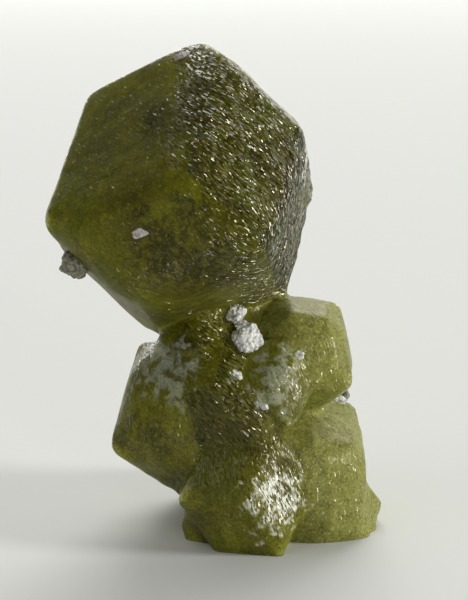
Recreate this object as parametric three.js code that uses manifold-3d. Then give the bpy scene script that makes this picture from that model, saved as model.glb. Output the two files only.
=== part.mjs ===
// Demantoid garnet: one large twelve-faced crystal on a group of smaller ones, all grown together,
// with grains of a grey and white mineral on them. Millimetres, +Z up, the front looks along -Y.
import * as THREE from "three";
import { mergeVertices } from "three/addons/utils/BufferGeometryUtils.js";
import { ConvexGeometry } from "three/addons/geometries/ConvexGeometry.js";
import Module from "manifold-3d";

const wasm = await Module();
wasm.setup();

// The twelve faces of a garnet crystal, as directions in the crystal's own axes.
const FACES = [
  "1 1 0", "1 -1 0", "-1 1 0", "-1 -1 0", "0 1 1", "0 1 -1",
  "0 -1 1", "0 -1 -1", "1 0 1", "1 0 -1", "-1 0 1", "-1 0 -1",
];
const BIG_TURN = [13, 6.5, 33.5];

// Each crystal: its middle, its turn in degrees, how far its faces lie from the middle, the width
// taken off its edges, how much further the faces that look down reach, and the faces that differ.
// Blunt corners are given as a direction and the distance at which they are cut.
const CRYSTALS = {
  big: {
    at: [-1.55, 0, 10.45], turn: BIG_TURN, reach: 3.3, bevel: 0.1, sink: 0,
    blunt: [["0 0 1", 4.38], ["-1 0 0", 4.78]],
    own: {
      "1 1 0": 2.9, "-1 1 0": 3.05, "-1 -1 0": 4.25, "0 1 1": 3.2, "0 -1 1": 4.15,
      "0 -1 -1": 3.5, "1 0 1": 3.3, "1 0 -1": 4.4, "-1 0 -1": 3.6,
    },
  },
  neck: {
    at: [-0.95, -0.4, 6.1], turn: BIG_TURN, reach: 1.12, bevel: 0, sink: 0,
    own: { "-1 -1 0": 1.3, "0 -1 -1": 1.9, "-1 0 -1": 1.7 },
  },
  neck_right: { at: [0.35, 0.55, 6.3], turn: BIG_TURN, reach: 0.9, bevel: 0, sink: 0, own: {} },
  left: {
    at: [-1.8, -0.2, 3.5], turn: [47, 10, 33], reach: 1.85, bevel: 0.07, sink: 0,
    own: { "-1 1 0": 1.6, "0 1 1": 2.2, "1 0 1": 2.2, "0 -1 -1": 2.15, "-1 0 -1": 1.45 },
  },
  centre: {
    at: [-0.4, -0.6, 4.35], turn: BIG_TURN, reach: 1.65, bevel: 0.07, sink: 0,
    own: { "-1 -1 0": 1.6, "1 0 1": 1.3, "0 1 1": 1.3, "0 -1 -1": 2.5, "-1 0 -1": 2.3 },
  },
  knob: {
    at: [1.0, -0.95, 4.7], turn: [16.5, 26, 35.5], reach: 1.17, bevel: 0.06, sink: 0,
    own: { "0 1 1": 1.3, "1 0 1": 1.05, "0 -1 -1": 1.5, "-1 0 -1": 1.45 },
  },
  front: {
    at: [0.25, -1.0, 1.7], turn: [-96.5, 53, -54], reach: 1.8, bevel: 0.06, sink: 0,
    own: { "-1 1 0": 2.15, "0 1 1": 1.9, "0 1 -1": 1.9, "0 -1 -1": 1.55, "-1 0 1": 2.05 },
  },
  right_upper: {
    at: [2.0, 0.4, 5.4], turn: [43.5, -14, -40], reach: 1.53, bevel: 0.07, sink: 0,
    own: { "1 1 0": 1.4, "1 -1 0": 1.6, "0 1 1": 1.43, "-1 0 1": 1.64 },
  },
  right_lower: {
    at: [2.3, 0.3, 1.85], turn: [54.5, -2.5, 49], reach: 1.87, bevel: 0.07, sink: 0,
    own: {
      "1 1 0": 2.0, "1 -1 0": 1.63, "-1 -1 0": 2.55, "0 -1 1": 2.0, "0 -1 -1": 2.5,
      "1 0 1": 1.68, "-1 0 -1": 2.25,
    },
  },
  right_foot: {
    at: [3.55, 0.2, 0.35], turn: [10, 20, 40], reach: 0.95, bevel: 0.05, sink: 0.4,
    own: { "1 -1 0": 0.86, "0 -1 1": 0.8 },
  },
  left_foot: {
    at: [-0.62, -0.8, 0.3], turn: [20, 35, 15], reach: 0.8, bevel: 0, sink: 0.4, own: {},
  },
  back_left: { at: [-0.9, 1.9, 2.5], turn: [30, 12, -20], reach: 1.65, bevel: 0, sink: 0, own: {} },
  back_middle: { at: [0.4, 2.3, 4.0], turn: [-15, 25, 50], reach: 1.8, bevel: 0.06, sink: 0, own: {} },
  back_low: { at: [0.7, 2.5, 1.0], turn: [12, -20, 5], reach: 1.8, bevel: 0, sink: 1.2, own: {} },
  back_right: { at: [1.65, 2.0, 2.95], turn: [40, 8, -5], reach: 1.6, bevel: 0, sink: 1.0, own: {} },
  back_foot: { at: [2.1, 2.5, 1.5], turn: [25, -10, 30], reach: 1.55, bevel: 0, sink: 0.7, own: {} },
  side_bud: { at: [1.72, 0.9, 10.25], turn: [25, 15, 10], reach: 0.58, bevel: 0.04, sink: 0, own: {} },
};

// Growth layers: the face they lie on, how high they stand and how far in from its edges they stop.
const LAYERS = [
  ["big", "-1 0 1", 0.05, 0.5], ["big", "-1 0 1", 0.09, 1.1], ["big", "-1 -1 0", 0.05, 0.55],
  ["big", "0 -1 1", 0.07, 0.35], ["big", "0 -1 1", 0.13, 0.8], ["big", "1 -1 0", 0.07, 0.3],
  ["big", "0 -1 -1", 0.06, 0.5], ["big", "1 1 0", 0.06, 0.5], ["big", "0 1 1", 0.06, 0.5],
  ["big", "-1 1 0", 0.06, 0.4], ["big", "1 0 1", 0.06, 0.4],
  ["left", "-1 -1 0", 0.06, 0.3], ["left", "-1 0 1", 0.05, 0.25], ["left", "0 -1 1", 0.05, 0.3],
  ["front", "1 1 0", 0.05, 0.22], ["front", "1 0 -1", 0.05, 0.25], ["front", "1 0 1", 0.05, 0.3],
  ["knob", "-1 -1 0", 0.04, 0.15], ["knob", "0 -1 1", 0.05, 0.18],
  ["right_upper", "0 -1 1", 0.05, 0.25], ["right_upper", "1 0 1", 0.05, 0.25],
  ["right_lower", "1 0 1", 0.05, 0.25], ["right_lower", "1 -1 0", 0.05, 0.3],
  ["back_middle", "0 1 1", 0.05, 0.3], ["back_low", "0 1 1", 0.05, 0.3],
];

// Growth ribs: the face, the edge direction they follow, how many, their length, width and height,
// and the lowest x at which they stand.
const RIBS = [
  ["big", "0 -1 1", "-1 1 1", 68, 0.45, 0.17, 0.055, -9],
  ["big", "1 -1 0", "-1 -1 1", 16, 0.6, 0.16, 0.06, -9],
  ["big", "0 -1 -1", "-1 1 -1", 10, 0.5, 0.17, 0.05, 0.2],
  ["big", "-1 -1 0", "-1 1 1", 5, 0.5, 0.16, 0.045, -0.2],
  ["front", "1 1 0", "1 -1 1", 14, 0.3, 0.14, 0.05, -9],
  ["front", "1 0 -1", "1 1 1", 6, 0.4, 0.12, 0.04, -9],
  ["knob", "0 -1 1", "-1 1 1", 9, 0.3, 0.13, 0.045, -9],
  ["knob", "-1 -1 0", "-1 1 1", 6, 0.3, 0.13, 0.04, -9],
  ["centre", "0 -1 1", "-1 1 1", 8, 0.35, 0.13, 0.045, -9],
  ["centre", "-1 -1 0", "-1 1 1", 8, 0.35, 0.13, 0.045, -9],
  ["right_lower", "1 0 1", "1 1 -1", 7, 0.4, 0.14, 0.04, -9],
  ["back_middle", "0 1 1", "1 -1 1", 6, 0.4, 0.15, 0.045, -9],
];

// Pits: the face, how many, and their width and depth.
const PITS = [
  ["big", "-1 0 1", 6, 0.26, 0.07], ["big", "-1 -1 0", 5, 0.3, 0.08], ["big", "0 1 1", 5, 0.3, 0.08],
  ["big", "1 1 0", 5, 0.3, 0.08], ["left", "-1 -1 0", 3, 0.3, 0.08], ["front", "1 0 1", 3, 0.25, 0.07],
  ["right_upper", "0 -1 1", 3, 0.25, 0.07], ["right_lower", "1 0 1", 3, 0.25, 0.07],
  ["back_right", "0 1 1", 2, 0.25, 0.07],
];

// Grains of the other mineral: middle, half sizes, turn, how many lumps each is made of, colour.
const GREY = "#6b6a56";
const WHITE = "#c3c1b6";
const LILAC = "#a6a3a0";
const GRAINS = {
  grain_grey_ball: [[-4.5, -2.45, 8.68], [0.46, 0.44, 0.5], [0, 0, 0], 5, GREY],
  grain_neck_large: [[0.38, -1.25, 6.2], [0.5, 0.45, 0.55], [0, 0, 0], 4, WHITE],
  grain_neck_small: [[0.05, -0.75, 6.84], [0.38, 0.55, 0.27], [0, -20, 0], 2, WHITE],
  grain_long: [[0.1, -1.98, 5.26], [0.25, 0.13, 0.13], [0, 40, 0], 2, WHITE],
  grain_side: [[1.9, -1.31, 5.72], [0.18, 0.13, 0.16], [0, 0, 0], 2, WHITE],
  grain_front_fleck: [[-2.5, -4.16, 9.9], [0.36, 0.13, 0.19], [0, -20, 0], 2, LILAC],
  grain_top_fleck: [[-1.48, -1.38, 14.42], [0.26, 0.14, 0.16], [0, -15, 0], 2, LILAC],
  grain_right_white: [[3.3, 1.15, 3.67], [0.22, 0.2, 0.16], [0, 0, 0], 2, WHITE],
  grain_right_grey: [[3.46, 1.5, 3.73], [0.16, 0.2, 0.27], [0, 10, 0], 2, GREY],
  grain_low: [[0.86, -2.13, 4.4], [0.2, 0.14, 0.14], [0, 20, 0], 2, WHITE],
  grain_ledge: [[2.54, 0.02, 3.66], [0.22, 0.13, 0.12], [0, 0, 0], 2, WHITE],
};
const GRAIN_GAP = 0.02;
const MERGE = 1e-3;

// A repeatable source of numbers from 0 to 1.
function numbers(seed) {
  let state = seed;
  return () => {
    state = (state + 0x6d2b79f5) | 0;
    let t = Math.imul(state ^ (state >>> 15), 1 | state);
    t = (t + Math.imul(t ^ (t >>> 7), 61 | t)) ^ t;
    return ((t ^ (t >>> 14)) >>> 0) / 4294967296;
  };
}

const vector = (words) => new THREE.Vector3(...words.split(" ").map(Number)).normalize();

function turned(degrees) {
  const [x, y, z] = degrees.map(THREE.MathUtils.degToRad);
  return new THREE.Quaternion().setFromEuler(new THREE.Euler(x, y, z));
}

// The flat faces of a crystal: outward direction and distance from the origin, bevels included.
function planesOf(crystal, grow = 0, change = {}) {
  const turn = turned(crystal.turn);
  const middle = new THREE.Vector3(...crystal.at);
  const main = FACES.map((name) => {
    const normal = vector(name).applyQuaternion(turn);
    const reach = crystal.own[name] ?? crystal.reach;
    const sink = crystal.own[name] ? 0 : crystal.sink * Math.max(0, -normal.z);
    return { name, normal, reach: reach + sink + grow + (change[name] ?? 0) };
  });
  const bevels = [];
  main.forEach((a, i) =>
    main.slice(0, i).forEach((b) => {
      if (Math.abs(a.normal.dot(b.normal) - 0.5) > 1e-6) return;
      const normal = a.normal.clone().add(b.normal);
      const length = normal.length();
      const reach = (a.reach + b.reach) / length - crystal.bevel;
      bevels.push({ name: "bevel", normal: normal.divideScalar(length), reach });
    }),
  );
  const blunt = (crystal.blunt ?? []).map(([name, reach]) => {
    return { name: "blunt", normal: vector(name).applyQuaternion(turn), reach: reach + grow };
  });
  const planes = [...main, ...(crystal.bevel > 0 ? bevels : []), ...blunt];
  return planes.map((p) => ({ ...p, far: p.reach + p.normal.dot(middle) }));
}

// The corners that a set of planes encloses.
function cornersOf(planes) {
  const corners = [];
  const solve = new THREE.Matrix3();
  for (let i = 0; i < planes.length; i++)
    for (let j = 0; j < i; j++)
      for (let k = 0; k < j; k++) {
        const [a, b, c] = [planes[i], planes[j], planes[k]];
        solve.set(...a.normal.toArray(), ...b.normal.toArray(), ...c.normal.toArray());
        if (Math.abs(solve.determinant()) < 1e-6) continue;
        const p = new THREE.Vector3(a.far, b.far, c.far).applyMatrix3(solve.invert());
        if (planes.some((q) => q.normal.dot(p) > q.far + 1e-7)) continue;
        if (corners.every((q) => q.distanceTo(p) > 2 * MERGE)) corners.push(p);
      }
  return corners;
}

function solidFrom(geometry) {
  const bare = geometry.clone();
  bare.deleteAttribute("normal");
  bare.deleteAttribute("uv");
  const merged = mergeVertices(bare, 1e-5);
  const vertProperties = Float32Array.from(merged.attributes.position.array);
  const triVerts = Uint32Array.from(merged.index.array);
  return new wasm.Manifold(new wasm.Mesh({ numProp: 3, vertProperties, triVerts }));
}

const hull = (points) => solidFrom(new ConvexGeometry(points));
const crystalSolid = (planes) => hull(cornersOf(planes));

function joined(solids) {
  let all = solids;
  while (all.length > 1) {
    const pairs = [];
    for (let i = 0; i < all.length; i += 2)
      pairs.push(i + 1 < all.length ? all[i].add(all[i + 1]) : all[i]);
    all = pairs;
  }
  return all[0];
}

const inside = (planes, p, margin) => planes.every((q) => q.normal.dot(p) < q.far - margin);
const planeSets = Object.fromEntries(
  Object.entries(CRYSTALS).map(([name, crystal]) => [name, planesOf(crystal)]),
);
const grainSpots = Object.values(GRAINS).map(([at, half]) => ({
  at: new THREE.Vector3(...at),
  clear: Math.max(...half) + 0.3,
}));

// Open places on one face of a crystal, clear of its edges, of the other crystals and of the grains.
function sites(name, faceName, count, margin, spacing, random, lowX = -9) {
  const planes = planeSets[name];
  const face = planes.find((p) => p.name === faceName);
  const others = planes.filter((p) => p !== face);
  const middle = new THREE.Vector3(...CRYSTALS[name].at);
  const centre = middle.clone().addScaledVector(face.normal, face.reach);
  const u = new THREE.Vector3(0, 0, 1).cross(face.normal).normalize();
  const v = face.normal.clone().cross(u);
  const span = 2 * CRYSTALS[name].reach;
  const found = [];
  for (let tries = 0; tries < 60 * count && found.length < count; tries++) {
    const p = centre.clone();
    p.addScaledVector(u, (random() - 0.5) * span).addScaledVector(v, (random() - 0.5) * span);
    if (p.x < lowX || p.z < 0.35 || !inside(others, p, margin)) continue;
    if (found.some((q) => q.distanceTo(p) < spacing)) continue;
    if (grainSpots.some((g) => g.at.distanceTo(p) < g.clear)) continue;
    const buried = Object.entries(planeSets).some(([k, set]) => k !== name && inside(set, p, -0.15));
    if (!buried) found.push(p);
  }
  return { face, found };
}

// The height of the layers already laid on a face, at a point of it.
function layerHeight(name, faceName, p) {
  let height = 0;
  for (const [crystal, face, lift, inset] of LAYERS) {
    if (crystal !== name || face !== faceName) continue;
    const others = planeSets[name].slice(0, FACES.length).filter((q) => q.name !== face);
    if (inside(others, p, inset + 0.05)) height = Math.max(height, lift);
  }
  return height;
}

const random = numbers(58);

// A layer is the crystal itself with one face raised and the faces next to it drawn in.
const layerChanges = LAYERS.map(([name, faceName, lift, inset]) => {
  const face = planeSets[name].find((p) => p.name === faceName);
  const change = { [faceName]: lift };
  for (const p of planeSets[name].slice(0, FACES.length))
    if (p !== face && p.normal.dot(face.normal) > 0.1)
      change[p.name] = -inset * (0.8 + 0.5 * random());
  return { name, change };
});
const layersOf = (grow) =>
  layerChanges.map(({ name, change }) =>
    crystalSolid(planesOf(CRYSTALS[name], grow, change).slice(0, FACES.length)),
  );

function ribs([name, faceName, along, count, length, width, height, lowX]) {
  const turn = turned(CRYSTALS[name].turn);
  const { face, found } = sites(name, faceName, count, 0.14, 0.9 * width, random, lowX);
  const t = vector(along).applyQuaternion(turn);
  t.addScaledVector(face.normal, -t.dot(face.normal)).normalize();
  return found.map((p) => {
    const across = face.normal.clone().cross(t);
    const long = t.clone().addScaledVector(across, 0.12 * (random() - 0.5)).normalize();
    const side = face.normal.clone().cross(long);
    const half = (length / 2) * (0.6 + 0.7 * random());
    const wide = (width / 2) * (0.75 + 0.5 * random());
    const rise = height * (0.7 + 0.6 * random()) + layerHeight(name, faceName, p);
    const at = (a, b, c) =>
      p.clone().addScaledVector(long, a).addScaledVector(side, b).addScaledVector(face.normal, c);
    const skew = wide * 0.5 * (random() - 0.5);
    return hull([
      at(-half, -wide, -0.08), at(half, -wide, -0.08), at(half, wide, -0.08),
      at(-half, wide, -0.08), at(wide - half, skew, rise), at(half - wide, skew, rise),
    ]);
  });
}

function pits([name, faceName, count, width, depth]) {
  const { face, found } = sites(name, faceName, count, 0.3, 1.4 * width, random);
  const u = new THREE.Vector3(0, 0, 1).cross(face.normal).normalize();
  const v = face.normal.clone().cross(u);
  return found.map((p) => {
    const lift = layerHeight(name, faceName, p);
    const radius = (width / 2) * (0.7 + 0.6 * random());
    const start = random() * Math.PI;
    const mouth = [0, 1, 2, 3].map((i) => {
      const angle = start + (i + 0.3 * (random() - 0.5)) * (Math.PI / 2);
      return p.clone().addScaledVector(u, 1.6 * radius * Math.cos(angle))
        .addScaledVector(v, radius * Math.sin(angle)).addScaledVector(face.normal, lift + 0.02);
    });
    return hull([...mouth, p.clone().addScaledVector(face.normal, lift - depth)]);
  });
}

// An uneven grain: several small hulls of scattered points, overlapping in one ellipsoid.
function grain([at, half, turn, lumps], seed) {
  const draw = numbers(seed);
  const around = turned(turn);
  const spot = () => {
    const z = 2 * draw() - 1;
    const angle = 2 * Math.PI * draw();
    const r = Math.sqrt(1 - z * z);
    return new THREE.Vector3(r * Math.cos(angle), r * Math.sin(angle), z);
  };
  const piece = (offset, size, count) => {
    const points = [];
    for (let i = 0; i < count; i++) {
      const p = spot().multiplyScalar(size * (0.85 + 0.15 * draw())).add(offset);
      p.multiply(new THREE.Vector3(...half)).applyQuaternion(around);
      points.push(p.add(new THREE.Vector3(...at)));
    }
    return hull(points);
  };
  const parts = [piece(new THREE.Vector3(), 0.85, 14)];
  for (let i = 0; i < lumps; i++) parts.push(piece(spot().multiplyScalar(0.5), 0.55, 9));
  return joined(parts);
}

// The crystals joined in one solid, with their layers, ribs and pits, cut off flat underneath.
const below = new THREE.BoxGeometry(40, 40, 8).translate(0, 0, -4);
const bodies = Object.values(planeSets).map(crystalSolid);
const raised = [...layersOf(0), ...RIBS.flatMap(ribs)];
const hollows = joined(PITS.flatMap(pits));
const cluster = joined([...bodies, ...raised]).subtract(hollows).subtract(solidFrom(below));

// The same crystals a little larger, to keep each grain just clear of the garnet.
const clearance = joined([
  ...Object.values(CRYSTALS).map((crystal) => crystalSolid(planesOf(crystal, GRAIN_GAP))),
  ...layersOf(GRAIN_GAP),
]);

const largest = (solid) => solid.decompose().sort((a, b) => b.volume() - a.volume())[0];

const pieces = { garnet_crystals: { solid: largest(cluster), colour: "#5c5a24", rough: 0.38 } };
Object.entries(GRAINS).forEach(([name, spec], i) => {
  const solid = largest(grain(spec, 300 + i).subtract(clearance));
  pieces[name] = { solid, colour: spec[4], rough: 0.9 };
});

// Whether every edge of a mesh belongs to exactly two triangles.
function edgesPaired({ vertProperties, triVerts }) {
  const key = (i) => Array.from(vertProperties.slice(3 * i, 3 * i + 3), (v) => v.toFixed(4)).join();
  const keys = Array.from({ length: vertProperties.length / 3 }, (_, i) => key(i));
  const count = new Map();
  for (let i = 0; i < triVerts.length; i += 3)
    for (let j = 0; j < 3; j++) {
      const ends = [keys[triVerts[i + j]], keys[triVerts[i + ((j + 1) % 3)]]].sort().join(" ");
      count.set(ends, (count.get(ends) ?? 0) + 1);
    }
  return [...count.values()].every((n) => n === 2);
}

// A solid moved sideways, with its corners put on a fine lattice: that closes up the slivers which
// crossing faces leave. A lattice that pinches two edges together is passed over for the next.
const LATTICES = [0.002, 0.0021, 0.0019, 0.0022, 0.0018, 0.0023, 0.0017, 0.0024, 0.0016, 0.0025];
function geometryOf(solid, shift) {
  const { vertProperties, triVerts } = solid.getMesh();
  for (const lattice of LATTICES) {
    const placed = vertProperties.map((value, i) => {
      const moved = value - (i % 3 === 0 ? shift.x : i % 3 === 1 ? shift.y : 0);
      return Math.round(moved / lattice) * lattice;
    });
    const snapped = new THREE.BufferGeometry()
      .setAttribute("position", new THREE.BufferAttribute(Float32Array.from(placed), 3))
      .setIndex(new THREE.BufferAttribute(Uint32Array.from(triVerts), 1));
    const clean = largest(solidFrom(snapped)).getMesh();
    if (!edgesPaired(clean)) continue;
    return new THREE.BufferGeometry()
      .setAttribute("position", new THREE.BufferAttribute(Float32Array.from(clean.vertProperties), 3))
      .setIndex(new THREE.BufferAttribute(Uint32Array.from(clean.triVerts), 1));
  }
  throw new Error("no lattice leaves every edge paired");
}

// Everything is moved so that the middle of the whole stands on the origin.
const extent = new THREE.Box3();
for (const { solid } of Object.values(pieces)) {
  const { min, max } = solid.boundingBox();
  extent.expandByPoint(new THREE.Vector3(...min)).expandByPoint(new THREE.Vector3(...max));
}
const middle = extent.getCenter(new THREE.Vector3());

const group = new THREE.Group();
for (const [name, { solid, colour, rough }] of Object.entries(pieces)) {
  const material = new THREE.MeshStandardMaterial({
    color: colour, roughness: rough, metalness: 0, flatShading: true,
  });
  const mesh = new THREE.Mesh(geometryOf(solid, middle), material);
  mesh.name = name;
  group.add(mesh);
}

export default group;
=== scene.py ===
# %% [markdown]
# # A demantoid garnet
#
# The object is a small mineral specimen: one big twelve-faced garnet crystal on a narrow neck, standing on
# a group of smaller ones, with a few crumbs of a pale mineral on it. Its solid model is loaded first and
# stays as it is. Everything below dresses that model: finer crystals, crumbs with grain, and a translucent
# finish.

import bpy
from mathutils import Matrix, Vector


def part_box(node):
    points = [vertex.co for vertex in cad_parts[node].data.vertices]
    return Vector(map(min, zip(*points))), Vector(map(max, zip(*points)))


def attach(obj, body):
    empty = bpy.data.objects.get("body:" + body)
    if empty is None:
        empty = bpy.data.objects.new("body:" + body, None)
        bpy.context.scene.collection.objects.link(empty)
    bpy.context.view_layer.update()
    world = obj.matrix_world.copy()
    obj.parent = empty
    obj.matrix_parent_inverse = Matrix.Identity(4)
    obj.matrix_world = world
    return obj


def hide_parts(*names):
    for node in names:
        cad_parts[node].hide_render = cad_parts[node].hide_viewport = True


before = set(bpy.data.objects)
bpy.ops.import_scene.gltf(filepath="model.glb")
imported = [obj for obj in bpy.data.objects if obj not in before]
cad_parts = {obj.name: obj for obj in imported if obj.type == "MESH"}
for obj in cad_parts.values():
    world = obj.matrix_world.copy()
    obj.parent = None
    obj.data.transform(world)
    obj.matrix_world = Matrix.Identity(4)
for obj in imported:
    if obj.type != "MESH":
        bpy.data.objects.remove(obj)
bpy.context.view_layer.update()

# %% [markdown]
# Blender works in metres, and this specimen is 15 mm tall, so the shapes are worked out in millimetres and
# scaled once, when a mesh is made. Places in the tables below count from a point on the base, and `MIDDLE`
# is where the frame's origin, under the middle of the whole specimen, lies from that point.

# %% Tools and units
import bmesh
import bpy
import numpy as np
from mathutils import Vector

MM = 0.001
MIDDLE = np.array([-0.383, 0.232, 0.0])
cad_low, cad_high = (np.array(corner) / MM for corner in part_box("garnet_crystals"))
print("the garnet measures", np.round(cad_high - cad_low, 2), "mm")

# %% [markdown]
# Garnet grows as a rhombic dodecahedron: twelve rhombic faces, each facing along one of the directions
# `1 1 0`, `1 0 1` and so on in the crystal's own axes. So a crystal is given by its middle, its turn, and
# how far each face lies from the middle. A face that grew slower than its neighbours ends up closer, and
# larger. `blunt` gives the small faces that cut off two corners of the big crystal, and `sink` lets the
# faces that look down reach further, for the crystals that are cut off at the base. The crystals are those
# of the solid model. Only the bud at the big crystal's side sits deeper in it and is larger, because it is
# drawn much rounder.

# %% The crystals
FACE_NAMES = ["1 1 0", "1 -1 0", "-1 1 0", "-1 -1 0", "0 1 1", "0 1 -1",
              "0 -1 1", "0 -1 -1", "1 0 1", "1 0 -1", "-1 0 1", "-1 0 -1"]
BIG_TURN = (13, 6.5, 33.5)
CRYSTALS = {
    "big": dict(at=(-1.55, 0, 10.45), turn=BIG_TURN, reach=3.3,
                blunt={"0 0 1": 4.38, "-1 0 0": 4.78},
                own={"1 1 0": 2.9, "-1 1 0": 3.05, "-1 -1 0": 4.25, "0 1 1": 3.2, "0 -1 1": 4.15,
                     "0 -1 -1": 3.5, "1 0 1": 3.3, "1 0 -1": 4.4, "-1 0 -1": 3.6}),
    "neck": dict(at=(-0.95, -0.4, 6.1), turn=BIG_TURN, reach=1.12,
                 own={"-1 -1 0": 1.3, "0 -1 -1": 1.9, "-1 0 -1": 1.7}),
    "neck_right": dict(at=(0.35, 0.55, 6.3), turn=BIG_TURN, reach=0.9),
    "left": dict(at=(-1.8, -0.2, 3.5), turn=(47, 10, 33), reach=1.85,
                 own={"-1 1 0": 1.6, "0 1 1": 2.2, "1 0 1": 2.2, "0 -1 -1": 2.15,
                      "-1 0 -1": 1.45}),
    "centre": dict(at=(-0.4, -0.6, 4.35), turn=BIG_TURN, reach=1.65,
                   own={"-1 -1 0": 1.6, "1 0 1": 1.3, "0 1 1": 1.3, "0 -1 -1": 2.5, "-1 0 -1": 2.3}),
    "knob": dict(at=(1.0, -0.95, 4.7), turn=(16.5, 26, 35.5), reach=1.17,
                 own={"0 1 1": 1.3, "1 0 1": 1.05, "0 -1 -1": 1.5, "-1 0 -1": 1.45}),
    "front": dict(at=(0.25, -1.0, 1.7), turn=(-96.5, 53, -54), reach=1.8,
                  own={"-1 1 0": 2.15, "0 1 1": 1.9, "0 1 -1": 1.9, "0 -1 -1": 1.55, "-1 0 1": 2.05}),
    "right_upper": dict(at=(2.0, 0.4, 5.4), turn=(43.5, -14, -40), reach=1.53,
                        own={"1 1 0": 1.4, "1 -1 0": 1.6, "0 1 1": 1.43, "-1 0 1": 1.64}),
    "right_lower": dict(at=(2.3, 0.3, 1.85), turn=(54.5, -2.5, 49), reach=1.87,
                        own={"1 1 0": 2.0, "1 -1 0": 1.63, "-1 -1 0": 2.55, "0 -1 1": 2.0,
                             "0 -1 -1": 2.5, "1 0 1": 1.68, "-1 0 -1": 2.25}),
    "right_foot": dict(at=(3.55, 0.2, 0.35), turn=(10, 20, 40), reach=0.95, sink=0.4,
                       own={"1 -1 0": 0.86, "0 -1 1": 0.8}),
    "left_foot": dict(at=(-0.62, -0.8, 0.3), turn=(20, 35, 15), reach=0.8, sink=0.4),
    "back_left": dict(at=(-0.9, 1.9, 2.5), turn=(30, 12, -20), reach=1.65),
    "back_middle": dict(at=(0.4, 2.3, 4.0), turn=(-15, 25, 50), reach=1.8),
    "back_low": dict(at=(0.7, 2.5, 1.0), turn=(12, -20, 5), reach=1.8, sink=1.2),
    "back_right": dict(at=(1.65, 2.0, 2.95), turn=(40, 8, -5), reach=1.6, sink=1.0),
    "back_foot": dict(at=(2.1, 2.5, 1.5), turn=(25, -10, 30), reach=1.55, sink=0.7),
    "side_bud": dict(at=(1.1, 0.9, 10.35), turn=(25, 15, 10), reach=1.08),
}
print(len(CRYSTALS), "crystals, each of", len(FACE_NAMES), "faces")

# %% [markdown]
# Two arrays for each crystal follow from the table: the outward direction n_i of every face, turned with
# the crystal, and its distance d_i from the crystal's middle. A point x, counted from that middle, is
# inside where n_i . x is less than d_i for all faces. The skins, the relief and the ways of light are all
# worked out from these two.

# %% The directions and distances of the faces


def direction(words):
    """The unit vector of a face or corner name such as "-1 0 1"."""
    vector = np.array([float(word) for word in words.split()])
    return vector / np.linalg.norm(vector)


def turned(degrees):
    """The rotation matrix of a turn about X, then Y, then Z, in the axes as they turn."""
    x, y, z = np.radians(degrees)
    about_x = np.array([[1, 0, 0], [0, np.cos(x), -np.sin(x)], [0, np.sin(x), np.cos(x)]])
    about_y = np.array([[np.cos(y), 0, np.sin(y)], [0, 1, 0], [-np.sin(y), 0, np.cos(y)]])
    about_z = np.array([[np.cos(z), -np.sin(z), 0], [np.sin(z), np.cos(z), 0], [0, 0, 1]])
    return about_x @ about_y @ about_z


def plane_names(spec):
    """The names of a crystal's faces, and after them those of the corners that are blunted by a face."""
    return [*FACE_NAMES, *spec.get("blunt", {})]


def planes_of(spec):
    """The outward directions of a crystal's faces, and their distances from its middle."""
    normals = np.array([direction(words) for words in plane_names(spec)]) @ turned(spec["turn"]).T
    sink = spec.get("sink", 0) * np.maximum(0, -normals[:, 2])
    own = spec.get("own", {})
    reach = [own.get(words, spec["reach"] + drop) for words, drop in zip(FACE_NAMES, sink)]
    return normals, np.array([*reach, *spec.get("blunt", {}).values()])


for spec in CRYSTALS.values():
    spec["middle"] = np.array(spec["at"]) - MIDDLE
    spec["normals"], spec["reaches"] = planes_of(spec)
print("the big crystal's first face looks along", np.round(CRYSTALS["big"]["normals"][0], 2))

# %% [markdown]
# Each crystal is made as one closed skin over a sphere of directions. The directions come from a cube whose
# six sides are square grids, because such a grid has no poles and its cells are all nearly alike. Most of
# the detail faces the front, so the directions can be drawn together towards it.

# %% A grid of directions


def sphere_grid(cells):
    """Directions all round, and the quads between them.

    Each side of the cube is a grid in two parameters a and b, the tangents of angles from -45 to 45 degrees:
    its points are (a, b, 1) and the like, brought to length 1. Points on shared edges are merged.
    """
    tangent = np.tan(np.linspace(-np.pi / 4, np.pi / 4, cells + 1))
    a, b = np.meshgrid(tangent, tangent, indexing="ij")
    one = np.ones_like(a)
    sides = [(a, b, one), (b, a, -one), (one, a, b), (-one, b, a), (b, one, a), (a, -one, b)]
    points = np.concatenate([np.stack(side, -1).reshape(-1, 3) for side in sides])
    corner = (np.arange(cells)[:, None] * (cells + 1) + np.arange(cells)).ravel()
    quad = np.stack([corner, corner + cells + 1, corner + cells + 2, corner + 1], -1)
    quads = np.concatenate([quad + side * (cells + 1) ** 2 for side in range(6)])
    _, first, same = np.unique(np.round(points, 6), axis=0, return_index=True, return_inverse=True)
    directions = points[first] / np.linalg.norm(points[first], axis=1, keepdims=True)
    return directions, same.reshape(-1)[quads]


def drawn_towards(directions, focus, amount):
    """Directions moved towards a focus: each is added to amount times the focus, and brought to length 1."""
    moved = directions + amount * np.array(focus)
    return moved / np.linalg.norm(moved, axis=1, keepdims=True)


print("a grid of 4 cells a side has", len(sphere_grid(4)[0]), "directions")

# %% [markdown]
# The real faces aren't plain. They carry growth layers with low stepped rims, and on the rough faces
# thousands of little rhombic hillocks drawn out along one edge direction, which give the sparkle. All of it
# is worked out from two kinds of pattern: smooth noise on a square lattice, and hills on jittered cells.
# Both take their random numbers from a formula on the cell's number, so that every run gives the same
# crystal.

# %% Patterns for the faces


def chance(i, j, seed):
    """A repeatable number from 0 to 1 for each lattice cell: the broken part of a large sine."""
    value = np.sin(i * 127.1 + j * 311.7 + seed * 74.7) * 43758.5453
    return value - np.floor(value)


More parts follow.
